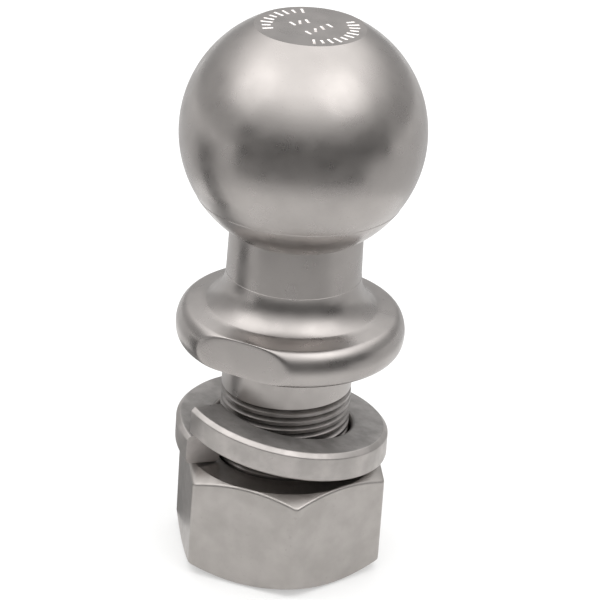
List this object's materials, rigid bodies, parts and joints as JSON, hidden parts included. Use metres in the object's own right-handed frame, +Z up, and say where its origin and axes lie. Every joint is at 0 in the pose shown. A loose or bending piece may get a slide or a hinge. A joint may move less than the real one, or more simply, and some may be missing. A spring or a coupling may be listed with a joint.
{
  "type": "gooseneck hitch ball",
  "caption": "Trailer hitch ball with a flat top, a neck and a flange with wrench flats above a threaded shank, with its split lock washer and hex nut.",
  "frame": {"origin": "centre of the nut's underside, on the shank's axis", "axes": "+Z up the shank to the ball; -Y out of one wrench flat on the flange"},
  "size_m": [0.0588, 0.0588, 0.1378],
  "materials": {
    "ball_steel": "satin, fine machined",
    "washer_steel": "satin, rolled",
    "nut_steel": "satin, zinc plated"
  },
  "bodies": {
    "ball_stud": {"ball_stud": "ball_steel"},
    "lock_washer": {"lock_washer": "washer_steel"},
    "hex_nut": {"hex_nut": "nut_steel"}
  },
  "joints": [
    {"name": "nut_travel", "type": "slide", "parent": "ball_stud", "child": "lock_washer", "axis": [0, 0, 1], "range_m": [-0.026, 0.0126]},
    {"name": "nut_turn", "type": "hinge", "parent": "lock_washer", "child": "hex_nut", "pos_m": [0, 0, 0.0135], "axis": [0, 0, 1], "range_deg": [-4430, 2160]}
  ],
  "couplings": [
    {"joint": "nut_turn", "follows": "nut_travel", "rad_per_m": 2968.4}
  ]
}
